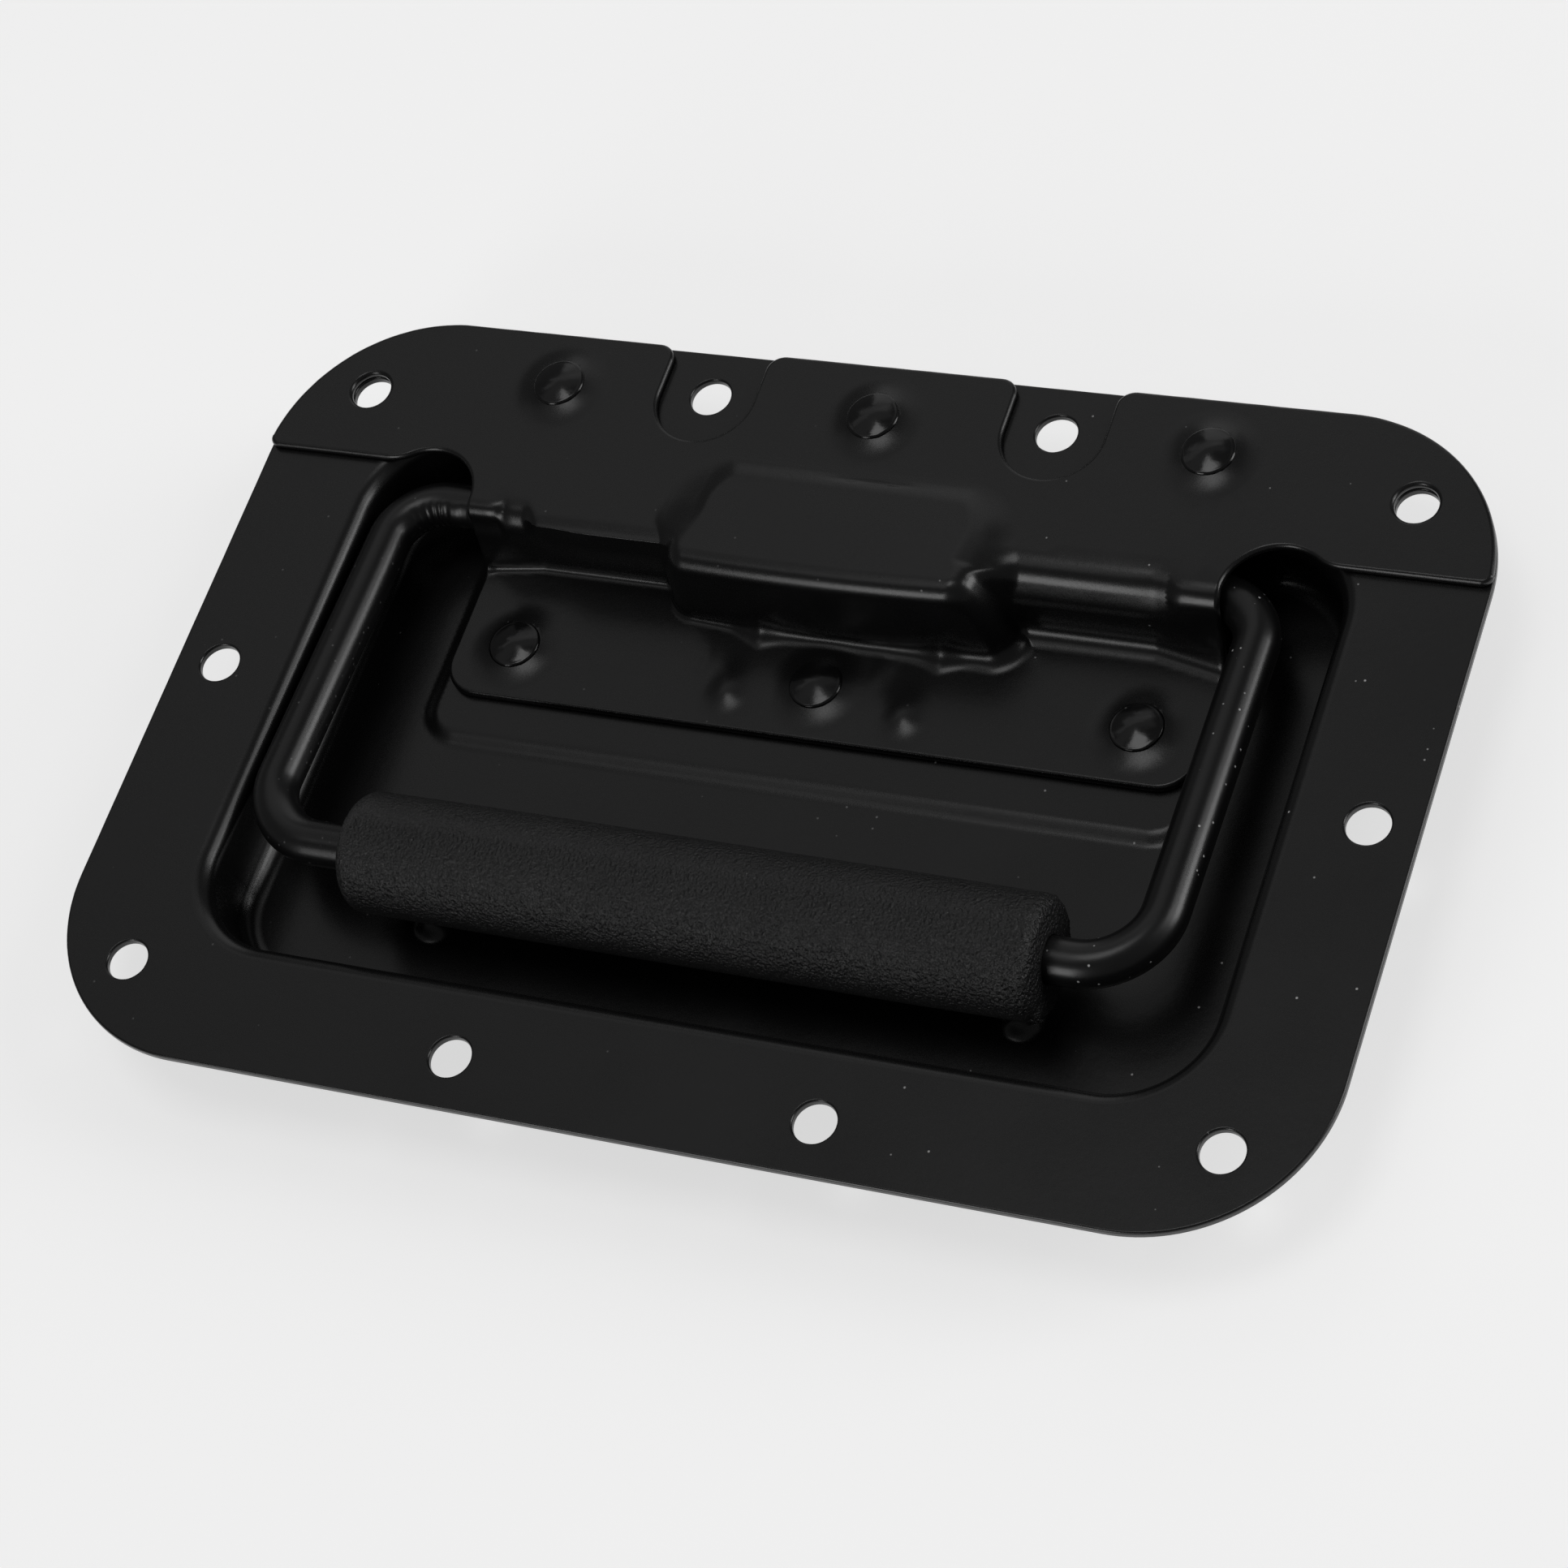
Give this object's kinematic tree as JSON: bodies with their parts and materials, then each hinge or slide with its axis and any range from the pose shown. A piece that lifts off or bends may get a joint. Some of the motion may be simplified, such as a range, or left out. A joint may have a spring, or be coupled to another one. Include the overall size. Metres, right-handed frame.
{
  "type": "recessed pull handle",
  "caption": "Recessed pull handle: a pressed dish with a screw flange, a riveted hinge cover and a sprung bail with a grip sleeve that folds flat into the dish.",
  "frame": {"origin": "under the middle of the flange's outline, on the plane of the dish's back", "axes": "+X along the grip, +Y towards the hinge, +Z out of the flange's face"},
  "size_m": [0.1732, 0.1146, 0.0197],
  "materials": {
    "pressed_sheet": "black satin powder coat on pressed steel",
    "rod": "smooth black coat on a steel rod, glossier than the dish",
    "sleeve": "fine leather-like grain",
    "rivet": "coated with the sheet",
    "spring_wire": "bare drawn wire"
  },
  "bodies": {
    "frame": {"dish": "pressed_sheet", "hinge_cover": "pressed_sheet", "flange_rivets": "rivet", "floor_rivets": "rivet", "spring_left": "spring_wire", "spring_right": "spring_wire"},
    "bail": {"bail": "rod", "grip": "sleeve"}
  },
  "joints": [
    {"name": "bail_hinge", "type": "hinge", "parent": "frame", "child": "bail", "pos_m": [-0.0035, 0.0313, 0.0094], "axis": [-1, 0, 0], "range_deg": [0, 90], "stiffness_Nm_per_rad": 0.08, "springref_deg": -51.57, "deforming": ["spring_left", "spring_right"]}
  ]
}
